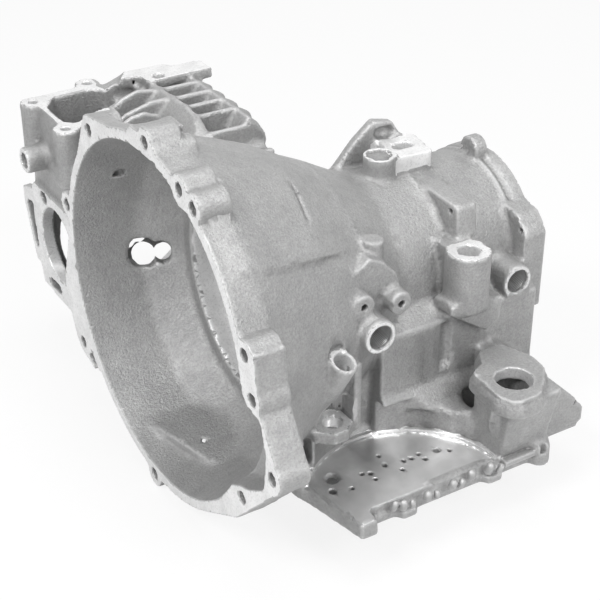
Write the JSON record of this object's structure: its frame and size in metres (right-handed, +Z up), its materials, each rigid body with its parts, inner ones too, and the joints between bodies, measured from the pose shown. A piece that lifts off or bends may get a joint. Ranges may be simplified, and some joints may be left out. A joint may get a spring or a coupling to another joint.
{
  "type": "gearbox housing",
  "caption": "Cast aluminium transaxle gearbox housing with a conical bell, stepped barrel, differential case, cooling fins and an open sump face.",
  "frame": {"origin": "centre of the bell's bolt circle on the machined engine face", "axes": "+X rearwards along the main shaft, +Y towards the differential, +Z up"},
  "size_m": [0.358, 0.562, 0.371],
  "materials": {
    "cast_aluminium": "as cast, machined faces bright"
  },
  "bodies": {
    "root": {"gearbox_housing": "cast_aluminium"}
  },
  "joints": []
}
